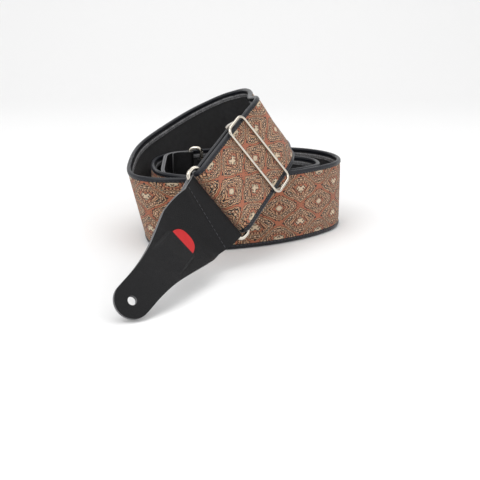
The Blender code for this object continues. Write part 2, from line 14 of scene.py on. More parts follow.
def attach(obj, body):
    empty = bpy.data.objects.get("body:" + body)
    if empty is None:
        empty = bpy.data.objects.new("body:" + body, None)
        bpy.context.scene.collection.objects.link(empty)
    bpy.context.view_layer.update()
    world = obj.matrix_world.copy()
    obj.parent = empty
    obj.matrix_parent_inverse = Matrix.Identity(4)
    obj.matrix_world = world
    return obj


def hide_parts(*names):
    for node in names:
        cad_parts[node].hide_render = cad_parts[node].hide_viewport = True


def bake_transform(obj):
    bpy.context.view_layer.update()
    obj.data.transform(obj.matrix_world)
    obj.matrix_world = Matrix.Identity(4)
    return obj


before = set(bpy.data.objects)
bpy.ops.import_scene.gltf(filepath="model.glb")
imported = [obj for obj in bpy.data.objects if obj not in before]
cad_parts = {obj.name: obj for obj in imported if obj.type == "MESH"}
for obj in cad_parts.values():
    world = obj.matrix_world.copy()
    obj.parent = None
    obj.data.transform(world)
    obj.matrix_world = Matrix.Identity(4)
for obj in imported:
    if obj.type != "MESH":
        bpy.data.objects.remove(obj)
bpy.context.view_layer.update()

bl_info = {
    "name": "Coiled Guitar Strap",
    "version": (1, 0, 0),
    "blender": (4, 5, 0),
    "location": "3D View > Sidebar > Strap",
    "description": "Builds a woven guitar strap with leather tabs round its CAD frame",
    "category": "Add Mesh",
}

MM = 0.001
UP = Vector((0.0, 0.0, 1.0))
LAYOUT_CENTRE = Vector((-3.0, 755.2, 0.0))

# Band layers, as heights from the band's middle.
BAND_HALF = 34.0
EDGE_ROOT = 30.0
CLOTH_HALF = EDGE_ROOT - 0.3
PADDING_HALF = BAND_HALF - 1.6
PADDING_HALF_THICK = 0.7
CLOTH_CROWN = 0.35
FLAT_COLUMNS = 8
CROWN_COLUMNS = 12
EDGE_HALF_THICK = 2.2
LAYER_LOW = 1.0
FABRIC_THICK = 0.9
HEM_TOP = 2.35
HEM_THICK = 0.5

# The coil seen from above, as (length, turn in degrees), from the front point inwards.
FRONT_POINT = Vector((-20.0, 748.5, BAND_HALF))
FRONT_HEADING = 12.0
COIL_RUNS = (
    (128, 40), (65, 60), (73, 66), (81, 23), (81, 67),
    (53, 17), (66, 84), (106, 34), (95, 151), (46, -22), (16, 0),
)
# The outer turn's control points, as (x, y, z, lean of the top edge outwards in degrees).
CLIMB_ROWS = (
    (-77, 746, 34, 6), (-96, 770, 34, 15), (-99, 813, 40, 13), (-99, 860, 47, 9),
    (-74, 902, 60, 8), (-48, 936, 73, 8), (-15, 950, 87, 0), (3, 939, 94, -15),
    (21, 924, 102, -31), (32, 881, 105, -37), (27, 834, 102, -40),
)
ROW_STEP = 26.0
ROW_PARTS = 9
RUN_END = Vector((-11.0, 696.0, 61.0))
RUN_AZIMUTH = 63.0
RUN_SLOPE = 25.0
RUN_LEAN = -30.0
RUN_LENGTH = 87.0
TAIL_START = 6.3
TAIL_LENGTH = 66.0
TAIL_INNER = 0.1
TAIL_OUTER = 1.9
TAIL_EDGE_SQUASH = 0.86
BIGHT_RADIUS = 4.9
BIGHT_OVERRUN = 6.0
COIL_STEP = 4.0
RUN_PARTS = 20
BIGHT_PARTS = 16
TAIL_PARTS = 18

RING_WIRE = 3.6
RING_HALF_LENGTH = 36.6
RING_CORNER = 4.6
RING_SPACING = 12.0
FRONT_RING_DROOP = 20.0
REAR_RING_SETBACK = 10.0
REAR_LOOP_RADIUS = 3.85
REAR_LOOP_REACH = 16.0
REAR_LOOP_THICK = 1.2
REAR_LOOP_HALF = 30.0
REAR_LOOP_PARTS = 16

SLIDER_SETBACK = 62.0
SLIDER_WIRE = 2.5
SLIDER_HALF_LENGTH = 36.2
SLIDER_HALF_WIDTH = 13.5
SLIDER_CORNER = 6.0
SLIDER_LIFT = 4.1
BAR_THICK = 1.8
BAR_WIDTH = 4.6
BAR_DROP = 5.0
BAR_CLEARANCE = 0.3
END_LOOP_THICK = 0.8
END_LOOP_HALF = 24.5
END_LOOP_REACH = 18.0

TAB_HALF = 33.0
TONGUE_HALF = 14.0
SHOULDER_END = 130.0
TAB_LEATHER = 1.7
TAB_BACKING = 1.4
TAB_GAP = 0.3
TAB_FOLD_RADIUS = 3.05
TAB_FLAP = 20.0
TAB_STITCH_AT = 14.0
TAB_STITCHES = 15
TAB_STITCH_FIRST = -29.0
TAB_STITCH_PITCH = 4.15
TAB_STEP = 2.0
TAB_FOLD_PARTS = 12
HOLE_SIDES = 48
PUNCH_LENGTH = 12.0
BUTTON_HOLE = 7.0
HOLE_FROM_TIP = 13.0
FRONT_TAB_RUNS = ((20, 10, 11, -7), (26, -26, -21, -1), (44, 0, 0, 0), (64, 35, -3, 3))
REAR_TAB_RUNS = ((8, 0, 0, 0), (24, 98, 0, 0), (30, 0, 0, 0), (60, 84, 0, 0), (44, 0, 0, 0))
SLIT_AT = 62.0
SLIT_HALF = 15.0
LIP_RISE = 3.0
LIP_FLAT = 0.84
LIP_FLAT_END = 80.0
LIP_END = 97.0
PICK_THICK = 0.8
PICK_HALF_WIDTH = 11.8
PICK_OUT = 17.5
PICK_IN = 16.0
PICK_SIDES = 48
PICK_SQUARENESS = 0.8
PICK_TAPER = 0.42

# Stitches, as (length, width, thickness).
HEM_STITCH = (2.6, 0.5, 0.4)
TAB_STITCH = (3.0, 0.7, 0.5)
EDGE_STITCH_INSET = 0.75
EDGE_STITCH_HEIGHT = 2.02
EDGE_STITCH_WIDTH = 0.55
EDGE_STITCH_THICK = 0.45

# The stage and the camera's clip, in metres; the camera's lens, sensor and height, in millimetres;
# and its tilt from straight down, in degrees.
FLOOR_SIDE = 3.0
FLOOR_FRONT = -2.0
FLOOR_DROP = 0.0005
BEND_START = 1.2
BEND_RADIUS = 0.8
BEND_PARTS = 12
BACKDROP_TOP = 3.0
LAMPS = (("key", (-0.9, -0.9, 1.5), 1.3, 1.0), ("fill", (1.2, -0.8, 1.1), 1.6, 0.45),
         ("top", (0.1, 0.4, 1.8), 1.5, 0.7))
LAMP_AIM = Vector((0.0, 0.0, 0.05))
CAMERA_LENS = 63.75
CAMERA_SENSOR = 36.0
CAMERA_CLIP = 0.01
CAMERA_HEIGHT = 215.0
CAMERA_TILT = 74.625

# The patterns, in millimetres, with the cross threads' pitch as a multiple of the ribs'.
WEFT_STRETCH = 1.1
SEAM_PITCH = 46.0
ORNAMENT_AT = 38.0
ORNAMENT_HALF_WIDTH = 15.0
ORNAMENT_HALF_LENGTH = 8.5


# ---------------------------------------------------------------- settings

def colour_property(name, description, default):
    return FloatVectorProperty(name=name, description=description, default=default, size=3, subtype="COLOR",
                               min=0.0, max=1.0)


class StrapCloth(bpy.types.PropertyGroup):
    repeat: FloatProperty(name="Pattern repeat", description="Length of one repeat of the woven pattern",
                          default=0.050, min=0.02, unit="LENGTH")
    drop: FloatProperty(name="Pattern width", description="Width of one repeat of the woven pattern",
                        default=0.0298, min=0.01, unit="LENGTH")
    thread: FloatProperty(name="Thread pitch", description="Distance between threads of the weave",
                          default=0.00040, min=0.0001, unit="LENGTH")
    ground: colour_property("Ground", "Dark ground of the weave", (0.018, 0.013, 0.011))
    rust: colour_property("Rust", "Rust figure thread", (0.37, 0.115, 0.055))
    tan: colour_property("Tan", "Tan figure thread", (0.50, 0.285, 0.155))
    cream: colour_property("Cream", "Cream outline thread", (0.62, 0.49, 0.34))
    teal: colour_property("Grey green", "Grey green figure thread", (0.17, 0.22, 0.17))


class StrapTrim(bpy.types.PropertyGroup):
    stitch_pitch: FloatProperty(name="Stitch pitch", description="Distance between stitches along the edges",
                                default=0.0038, min=0.002, unit="LENGTH")
    stitch_length: FloatProperty(name="Stitch length", description="Length of one stitch",
                                 default=0.0025, min=0.001, unit="LENGTH")
    edging: colour_property("Edging", "Imitation leather of the bound edges", (0.0045, 0.0052, 0.008))
    leather: colour_property("Leather", "Leather of the tabs", (0.0045, 0.0045, 0.005))
    metal: colour_property("Metal", "Plating of the slider and rings", (0.66, 0.61, 0.53))
    pick: colour_property("Pick", "Colour of the pick", (0.56, 0.006, 0.009))


class StrapStage(bpy.types.PropertyGroup):
    key_power: FloatProperty(name="Key light", description="Power of the large soft light", default=13.0,
                             min=0.0, unit="POWER")
    sky: FloatProperty(name="Room light", description="Strength of the even light of the room", default=0.75,
                       min=0.0)
    floor: colour_property("Floor", "Colour of the floor and backdrop", (0.88, 0.88, 0.88))


# ---------------------------------------------------------------- routes

class Place:
    """A place on a ribbon: its middle, its width direction, its running direction and its outer side."""

    def __init__(self, point, wide, along):
        self.point = point.copy()
        self.along = along.normalized()
        self.wide = (wide - self.along * wide.dot(self.along)).normalized()
        self.out = self.wide.cross(self.along)

    def at(self, x, z, y=0.0):
        return self.point + self.wide * x + self.along * y + self.out * z

    def moved(self, x, y, z):
        return Place(self.at(x, z, y), self.wide, self.along)

    def pitched(self, degrees):
        turn = Quaternion(self.wide, -math.radians(degrees))
        return Place(self.point, self.wide, turn @ self.along)


def to_metres(point):
    return (point - LAYOUT_CENTRE) * MM


def ease(value):
    value = min(max(value, 0.0), 1.0)
    return value * value * (3.0 - 2.0 * value)


def level(heading):
    return Vector((math.cos(heading), math.sin(heading), 0.0))


def coil_places():
    heading = math.radians(FRONT_HEADING)
    point = FRONT_POINT.copy()
    places = [Place(point, UP, -level(heading))]
    for length, turn in COIL_RUNS:
        steps = math.ceil(length / COIL_STEP)
        half_turn = math.radians(turn) / steps / 2.0
        for _ in range(steps):
            heading += half_turn
            point = point + level(heading) * (length / steps)
            heading += half_turn
            places.append(Place(point, UP, -level(heading)))
    return places[::-1]


def run_direction():
    azimuth = math.radians(RUN_AZIMUTH)
    slope = math.radians(RUN_SLOPE)
    reach = math.cos(slope)
    return Vector((-reach * math.cos(azimuth), -reach * math.sin(azimuth), -math.sin(slope)))


def leaning_place(point, along, lean):
    upright = (UP - along * UP.dot(along)).normalized()
    outward = upright.cross(along)
    tilt = math.radians(lean)
    return Place(point, upright * math.cos(tilt) + outward * math.sin(tilt), along)


def climb_places():
    start = -level(math.radians(FRONT_HEADING)) * ROW_STEP
    along = run_direction()
    run_start = RUN_END - along * RUN_LENGTH
    rows = [(FRONT_POINT + start * k, 0.0) for k in (-1, 0, 1)]
    rows += [(Vector(row[:3]), row[3]) for row in CLIMB_ROWS]
    rows += [(run_start + along * ROW_STEP * k, RUN_LEAN) for k in (-1, 0, 1)]
    places = []
    for index in range(len(rows) - 3):
        for part in range(ROW_PARTS):
            u = part / ROW_PARTS
            weights = ((1 - u) ** 3, 3 * u ** 3 - 6 * u ** 2 + 4,
                       -3 * u ** 3 + 3 * u ** 2 + 3 * u + 1, u ** 3)
            slopes = (-((1 - u) ** 2), 3 * u ** 2 - 4 * u, -3 * u ** 2 + 2 * u + 1, u ** 2)
            point = Vector((0.0, 0.0, 0.0))
            tangent = Vector((0.0, 0.0, 0.0))
            lean = 0.0
            for k in range(4):
                point += rows[index + k][0] * (weights[k] / 6.0)
                tangent += rows[index + k][0] * slopes[k]
                lean += rows[index + k][1] * weights[k] / 6.0
            places.append(leaning_place(point, tangent.normalized(), lean))
    return places[1:]


def run_place(setback):
    along = run_direction()
    return leaning_place(RUN_END - along * setback, along, RUN_LEAN)


def bight_places():
    """The straight run, then the half turn round the front ring's inner bar."""
    places = [run_place(RUN_LENGTH * (1.0 - k / RUN_PARTS)) for k in range(RUN_PARTS + 1)]
    front = run_place(0.0)
    for k in range(1, BIGHT_PARTS + 1):
        angle = math.pi * k / BIGHT_PARTS
        along = front.along * math.cos(angle) - front.out * math.sin(angle)
        spot = front.at(0.0, -BIGHT_RADIUS * (1.0 - math.cos(angle)), BIGHT_RADIUS * math.sin(angle))
        places.append(Place(spot, front.wide, along))
    return places + [places[-1].moved(0.0, BIGHT_OVERRUN, 0.0)]


def tail_places():
    places = []
    for k in range(TAIL_PARTS + 1):
        above = run_place(TAIL_START + (TAIL_LENGTH - TAIL_START) * k / TAIL_PARTS)
        places.append(Place(above.at(0.0, -2.0 * BIGHT_RADIUS), above.wide, -above.along))
    return places


def tab_places(start, runs):
    """A tab's route: each run bends to the back, twists and sways evenly over its length."""
    place = start
    places = [place]
    for length, bend, twist, sway in runs:
        steps = math.ceil(length / TAB_STEP)
        for _ in range(steps):
            turn = (-place.wide * bend - place.along * twist + place.out * sway) * math.radians(1.0 / steps)
            half = Quaternion(turn.normalized(), turn.length / 2.0) if turn.length > 1e-9 else Quaternion()
            middle = half @ place.along
            place = Place(place.point + middle * (length / steps), half @ (half @ place.wide), half @ middle)
            places.append(place)
    return places


def distances(places):
    gone = [0.0]
    for before, after in zip(places, places[1:]):
        gone.append(gone[-1] + (after.point - before.point).length)
    return gone


def between(before, after, share):
    """The place this share of the way from one place to the next."""
    wide = before.wide.lerp(after.wide, share)
    return Place(before.point.lerp(after.point, share), wide, before.along.lerp(after.along, share))


def place_at(places, distance):
    gone = 0.0
    for before, after in zip(places, places[1:]):
        length = (after.point - before.point).length
        if gone + length >= distance:
            return between(before, after, (distance - gone) / length)
        gone += length
    return places[-1].moved(0.0, distance - gone, 0.0)


BAND = coil_places() + climb_places() + bight_places()
TAIL = tail_places()
REAR_BAR = BAND[0].moved(0.0, -REAR_RING_SETBACK, 0.0)
REAR_LIFT = RING_HALF_LENGTH + RING_WIRE / 2.0 - BAND_HALF
REAR_RING = Place(REAR_BAR.point + UP * REAR_LIFT, -REAR_BAR.wide, -REAR_BAR.along)
FRONT_RING = run_place(0.0).moved(0.0, 0.0, -BIGHT_RADIUS).pitched(FRONT_RING_DROOP)
FRONT_TAB = FRONT_RING.moved(0.0, RING_SPACING, 0.0).pitched(-FRONT_RING_DROOP)
REAR_TAB = REAR_RING.moved(0.0, RING_SPACING, 0.0)


# ---------------------------------------------------------------- shader maths

def maths_method(operation):
    """A method of Level that adds one Math node."""
    def method(self, *others):
        return self.maths(operation, self, *others)
    return method


class Level:
    """A number on a socket; arithmetic on it adds Math nodes."""

    def __init__(self, finish, socket):
        self.finish = finish
        self.socket = socket

    def maths(self, operation, *values):
        made = self.finish.node("ShaderNodeMath", {"operation": operation}, dict(enumerate(values)))
        return Level(self.finish, made.outputs[0])

    def __rsub__(self, other):
        return self.maths("SUBTRACT", other, self)

    __add__ = __radd__ = maths_method("ADD")
    __sub__ = maths_method("SUBTRACT")
    __mul__ = __rmul__ = maths_method("MULTIPLY")
    __truediv__ = maths_method("DIVIDE")
    __mod__ = maths_method("FLOORED_MODULO")
    __lt__ = maths_method("LESS_THAN")
    __gt__ = maths_method("GREATER_THAN")
    __abs__ = maths_method("ABSOLUTE")
    root = maths_method("SQRT")
    sine = maths_method("SINE")
    cosine = maths_method("COSINE")
    least = maths_method("MINIMUM")
    most = maths_method("MAXIMUM")
    snapped = maths_method("SNAP")

    def wrapped(self, repeat):
        """The value brought to within half a repeat of nought."""
        return (self + repeat / 2.0) % repeat - repeat / 2.0


class Finish:
    """One material and the nodes that make it."""

    def __init__(self, name):
        self.material = bpy.data.materials.new(name)
        self.material.use_nodes = True
        self.tree = self.material.node_tree
        self.shader = self.tree.nodes["Principled BSDF"]

    def node(self, kind, settings=None, inputs=None):
        made = self.tree.nodes.new(kind)
        for name, value in (settings or {}).items():
            setattr(made, name, value)
        for name, value in (inputs or {}).items():
            self.feed(made.inputs[name], value)
        return made

    def feed(self, socket, value):
        if isinstance(value, Level):
            value = value.socket
        if isinstance(value, bpy.types.NodeSocket):
            self.tree.links.new(value, socket)
        elif socket.type == "RGBA" and len(value) == 3:
            socket.default_value = (*value, 1.0)
        else:
            socket.default_value = value

    def cloth(self):
        """Across and along the piece, in millimetres, from the UV map."""
        spread = self.node("ShaderNodeUVMap", {"uv_map": "cloth"})
        parts = self.node("ShaderNodeSeparateXYZ", inputs={0: spread.outputs[0]})
        return Level(self, parts.outputs[0]) * 1000.0, Level(self, parts.outputs[1]) * 1000.0

    def body(self):
        return self.node("ShaderNodeTexCoord").outputs["Object"]

    def noise(self, scale, detail=2.0, rough=0.5):
        inputs = {"Vector": self.body(), "Scale": scale, "Detail": detail, "Roughness": rough}
        return Level(self, self.node("ShaderNodeTexNoise", inputs=inputs).outputs["Fac"])

    def cells(self, scale, feature="F1"):
        inputs = {"Vector": self.body(), "Scale": scale}
        made = self.node("ShaderNodeTexVoronoi", {"feature": feature}, inputs)
        return Level(self, made.outputs["Distance"])

    def vector(self, x, y, z):
        return self.node("ShaderNodeCombineXYZ", inputs={0: x, 1: y, 2: z}).outputs[0]

    def mix(self, share, first, second):
        mixed = self.node("ShaderNodeMix", {"data_type": "RGBA"}, {0: share, 6: first, 7: second})
        return mixed.outputs[2]

    def bump(self, height, distance, strength=1.0, under=None):
        inputs = {"Height": height, "Distance": distance, "Strength": strength}
        if under:
            inputs["Normal"] = under
        return self.node("ShaderNodeBump", inputs=inputs).outputs[0]

    def set(self, **inputs):
        for name, value in inputs.items():
            self.feed(self.shader.inputs[name.replace("_", " ").title().replace("Ior", "IOR")], value)
        return self.material


def jacquard():
    """Woven face: a half-drop net of curved medallions with outlines inside outlines, on a dark ground."""
    look = bpy.context.scene.strap_cloth
    made = Finish("jacquard")
    raw_across, raw_along = made.cloth()
    pitch = look.thread / MM
    repeat = look.repeat / MM
    turn_across = 2.0 * math.pi / (look.drop / MM)
    turn_along = 2.0 * math.pi / repeat
    across = abs(raw_across.snapped(pitch))
    along = raw_along.snapped(pitch * WEFT_STRETCH)
    mirrored = abs(along.wrapped(repeat))
    bent = across + (mirrored * (2.0 * turn_along)).sine() * 1.3
    swept = mirrored + (across * (2.0 * turn_across)).sine() * 1.1
    net = (bent * turn_across).cosine() + (swept * turn_along).cosine()
    leafy = (across * 1.5).sine() * (mirrored * 1.2).sine()
    small = (across * 1.85 + 0.6).sine() * (mirrored * 1.6).sine()
    depth = abs(net) + leafy * 0.08
    colour = made.mix(depth > 0.11, look.rust, look.ground)
    flowers = made.mix(small > 0.16, look.ground, look.tan)
    flowers = made.mix(small > 0.70, flowers, look.cream)
    flowers = made.mix(small < -0.24, flowers, look.rust)
    flowers = made.mix(small < -0.66, flowers, look.teal)
    veins = (swept * 1.9 + bent * 0.9).sine()
    leaves = made.mix(veins > -0.1, look.tan, look.rust)
    leaves = made.mix(veins > 0.70, leaves, look.ground)
    dots = made.mix(small > 0.0, look.tan, look.ground)
    dots = made.mix(small < -0.5, dots, look.teal)
    bands = ((0.21, look.tan), (0.34, look.ground), (0.45, flowers), (0.86, look.ground), (0.98, look.tan),
             (1.12, look.ground), (1.24, leaves), (1.50, look.ground), (1.61, look.rust), (1.74, dots),
             (1.90, look.cream))
    for limit, dye in bands:
        colour = made.mix(depth > limit, colour, dye)
    # Ribs that run along the band, threads that run across it, and an uneven dye.
    rib = (raw_across * (2.0 * math.pi / pitch)).sine()
    weft = (raw_along * (2.0 * math.pi / (pitch * WEFT_STRETCH))).sine()
    uneven = made.noise(900.0, 1.0)
    shade = made.noise(55.0, 3.0) * 0.6 + uneven * 0.7 + rib * 0.10 + weft * 0.08 + 0.42
    lot = made.vector(shade, shade, shade)
    toned = {"data_type": "RGBA", "blend_type": "MULTIPLY"}
    colour = made.node("ShaderNodeMix", toned, {0: 1.0, 6: colour, 7: lot}).outputs[2]
    normal = made.bump(rib * 0.5 + weft * 0.5 + uneven, 0.00016, 0.7)
    return made.set(base_color=colour, roughness=0.72 + uneven * 0.2, normal=normal, sheen_weight=0.12)


def lining():
    made = Finish("lining")
    across, along = made.cloth()
    weave = (across * 9.0).sine() * (along * 9.0).sine()
    seam = abs(along.wrapped(SEAM_PITCH)) < 0.5
    dust = made.noise(240.0, 4.0)
    colour = made.mix(dust * 0.6, (0.012, 0.012, 0.013), (0.045, 0.045, 0.047))
    normal = made.bump(weave * 0.3 - seam * 1.6 + made.noise(60.0, 2.0) * 1.2, 0.0003, 0.6)
    return made.set(base_color=colour, roughness=0.82, normal=normal)


def hem_tape():
    made = Finish("hem_tape")
    mottle = made.noise(620.0, 3.0, rough=0.7)
    patches = made.noise(120.0, 2.0)
    share = (mottle * 1.6 + patches * 0.8 - 0.75).most(0.0).least(1.0)
    colour = made.mix(share, (0.035, 0.035, 0.037), (0.36, 0.36, 0.37))
    return made.set(base_color=colour, roughness=0.9, normal=made.bump(mottle, 0.0005, 0.8))


def foam():
    made = Finish("foam")
    colour = made.mix(made.noise(400.0), (0.03, 0.03, 0.03), (0.07, 0.07, 0.07))
    return made.set(base_color=colour, roughness=0.95, normal=made.bump(made.cells(900.0), 0.0003))


def edging():
    """Imitation leather with a fine pressed grain and a soft shine."""
    made = Finish("edging")
    dye = bpy.context.scene.strap_trim.edging
    grain = made.cells(1100.0, "SMOOTH_F1")
    wave = made.noise(120.0, 2.0)
    rub = made.noise(38.0, 3.0)
    colour = made.mix(rub * 0.5, dye, [channel * 3.0 for channel in dye])
    under = made.bump(wave, 0.0006, 0.5)
    normal = made.bump(grain, 0.00012, 0.6, under)
    return made.set(base_color=colour, roughness=0.26 + rub * 0.16, normal=normal, specular_ior_level=0.36)


def leather():
    """Black leather with a pebbled grain, faint creases, a pressed oval ornament and a dull shine."""
    made = Finish("leather")
    dye = bpy.context.scene.strap_trim.leather
    across, along = made.cloth()
    pebble = made.cells(720.0, "DISTANCE_TO_EDGE")
    fine = made.cells(2100.0)
    crease = made.noise(70.0, 4.0, rough=0.6)
    dx = across / ORNAMENT_HALF_WIDTH
    dy = (along - ORNAMENT_AT) / ORNAMENT_HALF_LENGTH
    reach = (dx * dx + dy * dy).root()
    petal = (dy.maths("ARCTAN2", dy, dx) * 6.0).sine() * 0.16 + 0.55
    pressed = (abs(reach - 1.0) < 0.045) + (abs(reach - 0.86) < 0.025) + (abs(reach - petal) < 0.05)
    colour = made.mix(crease * 0.6, dye, [channel * 3.5 for channel in dye])
    under = made.bump(crease * 1.4 - pressed * 0.5, 0.0012, 0.6)
    normal = made.bump((pebble * 2.0).least(0.5) + fine * 0.15, 0.0003, 0.9, under)
    return made.set(base_color=colour, roughness=0.42 + crease * 0.25, normal=normal, specular_ior_level=0.2)


def cut_edge_and_painted_highlight():
    """The tab leather's raw cut edge, grey with fibres and partly a painted highlight along the tab's rim.
    """
    made = Finish("cut_edge_and_painted_highlight")
    fibre = made.noise(900.0, 3.0, rough=0.7)
    # Lighter grey: the raw edge's fibres, and partly a painted highlight where light catches the tab's rim.
    colour = made.mix(fibre, (0.06, 0.06, 0.062), (0.26, 0.26, 0.27))
    return made.set(base_color=colour, roughness=0.8, normal=made.bump(fibre, 0.0003, 0.7))


def plating():
    made = Finish("nickel")
    smear = made.noise(150.0, 3.0)
    scratch = made.noise(1400.0, 2.0)
    return made.set(base_color=bpy.context.scene.strap_trim.metal, metallic=1.0,
                    roughness=0.14 + smear * 0.14, normal=made.bump(scratch, 0.00003, 0.3))


def thread():
    made = Finish("thread")
    across, along = made.cloth()
    ply = ((along + across) * 9.0).sine()
    colour = made.mix(made.noise(800.0), (0.035, 0.035, 0.04), (0.10, 0.10, 0.11))
    return made.set(base_color=colour, roughness=0.6, normal=made.bump(ply, 0.0002, 0.6))


def pick_plastic():
    made = Finish("pick_red")
    dye = bpy.context.scene.strap_trim.pick
    wear = made.noise(260.0, 4.0)
    colour = made.mix(wear * 0.35, dye, [channel * 0.6 for channel in dye])
    return made.set(base_color=colour, roughness=0.42 + wear * 0.2, normal=made.bump(wear, 0.0001, 0.5))


def plain_backdrop():
    made = Finish("backdrop")
    return made.set(base_color=bpy.context.scene.strap_stage.floor, roughness=0.9)


MAKERS = {
    "jacquard": jacquard, "lining": lining, "hem_tape": hem_tape, "foam": foam, "edging": edging,
    "leather": leather, "cut_edge_and_painted_highlight": cut_edge_and_painted_highlight, "nickel": plating, "thread": thread,
    "pick_red": pick_plastic, "backdrop": plain_backdrop,
}
MADE = {}


def material(name):
    if name not in MADE:
        MADE[name] = MAKERS[name]()
    return MADE[name]


# ---------------------------------------------------------------- meshes

def finish_mesh(name, shape, finishes, sharp=40.0):
    """Turns a bmesh in layout millimetres into a shown object in metres."""
    bmesh.ops.recalc_face_normals(shape, faces=shape.faces)
    for vertex in shape.verts:
        vertex.co = to_metres(vertex.co)
    mesh = bpy.data.meshes.new(name)
    shape.to_mesh(mesh)
    shape.free()
    for finish in finishes:
        mesh.materials.append(material(finish))
    mesh.shade_smooth()
    mesh.set_sharp_from_angle(angle=math.radians(sharp))
    return show(name, mesh)


def show(name, data):
    """A new object in the scene's own collection."""
    made = bpy.data.objects.new(name, data)
    bpy.context.scene.collection.objects.link(made)
    return made


def blank_shape():
    shape = bmesh.new()
    return shape, shape.loops.layers.uv.new("cloth")


def path_direction(path, k):
    """The direction of a path of two numbers a point, at one of its points."""
    before = path[max(k - 1, 0)]
    after = path[min(k + 1, len(path) - 1)]
    run = after[0] - before[0]
    rise = after[1] - before[1]
    size = math.hypot(run, rise)
    return run / size, rise / size


def corner_face(shape, spread, corners, marks, finish=0):
    """A face with its UV marks in metres."""
    face = shape.faces.new(corners)
    face.material_index = finish
    for loop, mark in zip(face.loops, marks):
        loop[spread].uv = (mark[0] * MM, mark[1] * MM)
    return face


def ribbon(name, places, outline, finish, body="band", sharp=40.0):
    """A closed solid with the same (x, z) outline at every place."""
    shape, spread = blank_shape()
    gone = distances(places)
    rings = [[shape.verts.new(place.at(x, z)) for x, z in outline] for place in places]
    count = len(outline)
    for i in range(len(places) - 1):
        for k in range(count):
            j = (k + 1) % count
            corners = (rings[i][k], rings[i][j], rings[i + 1][j], rings[i + 1][k])
            marks = ((outline[k][0], gone[i]), (outline[j][0], gone[i]), (outline[j][0], gone[i + 1]),
                     (outline[k][0], gone[i + 1]))
            corner_face(shape, spread, corners, marks)
    for ring, distance in ((rings[0], gone[0]), (rings[-1], gone[-1])):
        corner_face(shape, spread, ring, [(x, distance + z) for x, z in outline])
    made = finish_mesh(name, shape, [finish], sharp)
    if body:
        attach(made, body)
    return made


def flat_outline(half, low, high):
    """A flat layer's outline, in even columns."""
    xs = [half * (2.0 * k / FLAT_COLUMNS - 1.0) for k in range(FLAT_COLUMNS + 1)]
    return [(x, low) for x in xs] + [(x, high) for x in reversed(xs)]


def crowned_outline(half, low, high):
    """A layer's outline whose outer side dips towards both edges."""
    xs = [half * (2.0 * k / CROWN_COLUMNS - 1.0) for k in range(CROWN_COLUMNS + 1)]
    return [(x, low) for x in xs] + [(x, high - CLOTH_CROWN * (x / half) ** 8) for x in reversed(xs)]


def edge_outline(side):
    """Edging rolled over the rim: a soft round back, and lips that grip the face and the lining."""
    rim = BAND_HALF - EDGE_HALF_THICK
    points = [(EDGE_ROOT, 1.15), (EDGE_ROOT + 0.05, 1.75), (EDGE_ROOT + 0.35, 1.98), (EDGE_ROOT + 0.9, 1.88)]
    for k in range(11):
        angle = math.radians(90.0 - 18.0 * k)
        points.append((rim + EDGE_HALF_THICK * math.cos(angle), EDGE_HALF_THICK * math.sin(angle)))
    points += [(EDGE_ROOT + 0.9, -1.88), (EDGE_ROOT + 0.35, -1.98), (EDGE_ROOT + 0.05, -1.75)]
    points += [(EDGE_ROOT, -1.15), (BAND_HALF - 1.2, -1.1), (BAND_HALF - 1.2, 1.1)]
    return [(x * side, z) for x, z in points]


def stitch_row(name, places, spots, size, body="band", across=False):
    """Separate stitches: each spot is (distance, x, height); size is (length, width, thickness) in mm."""
    shape, spread = blank_shape()
    gone = distances(places)
    index = 0
    for distance, x, height in spots:
        while index < len(gone) - 2 and gone[index + 1] < distance:
            index += 1
        share = (distance - gone[index]) / (gone[index + 1] - gone[index])
        middle = between(places[index], places[index + 1], share)
        stitch_capsule(shape, spread, middle, x, height, size, across)
    made = finish_mesh(name, shape, ["thread"], 80.0)
    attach(made, body)
    return made


def stitch_capsule(shape, spread, place, x, height, size, across):
    """One stitch: six sides, pinched where it enters the work."""
    length, width, thick = size
    rings = []
    for share, swell, dip in ((-0.5, 0.45, -0.9), (-0.3, 0.9, 0.0), (0.0, 1.0, 0.15), (0.3, 0.9, 0.0),
                              (0.5, 0.45, -0.9)):
        ring = []
        for k in range(6):
            angle = math.radians(60.0 * k)
            side = width / 2.0 * swell * math.cos(angle)
            rise = height + thick / 2.0 * (swell * math.sin(angle) + dip)
            run = share * length
            spot = place.at(x + run, rise, side) if across else place.at(x + side, rise, run)
            ring.append(shape.verts.new(spot))
        rings.append((share * length, ring))
    for (before, low), (after, high) in zip(rings, rings[1:]):
        for k in range(6):
            j = (k + 1) % 6
            marks = ((k, before), (j, before), (j, after), (k, after))
            corner_face(shape, spread, (low[k], low[j], high[j], high[k]), marks)
    for _, ring in (rings[0], rings[-1]):
        corner_face(shape, spread, ring, [(0.0, 0.0)] * 6)


def wire(name, points, place, diameter, body):
    """A closed loop of plated wire through (x, y, z) points on a place's axes."""
    curve = bpy.data.curves.new(name, "CURVE")
    curve.dimensions = "3D"
    curve.bevel_depth = diameter / 2.0 * MM
    curve.bevel_resolution = 6
    spline = curve.splines.new("POLY")
    spline.points.add(len(points) - 1)
    for knot, (x, y, z) in zip(spline.points, points):
        knot.co = (*to_metres(place.at(x, z, y)), 1.0)
    spline.use_cyclic_u = True
    curve.materials.append(material("nickel"))
    made = show(name, curve)
    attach(made, body)
    return made


def rounded_loop(half_length, half_width, radius, steps=9):
    points = []
    for corner in range(4):
        sx = 1.0 if corner in (0, 3) else -1.0
        sy = 1.0 if corner in (0, 1) else -1.0
        for k in range(steps + 1):
            angle = math.radians(90.0 * corner + 90.0 * k / steps)
            x = sx * (half_length - radius) + radius * math.cos(angle)
            points.append((x, sy * (half_width - radius) + radius * math.sin(angle), 0.0))
    return points


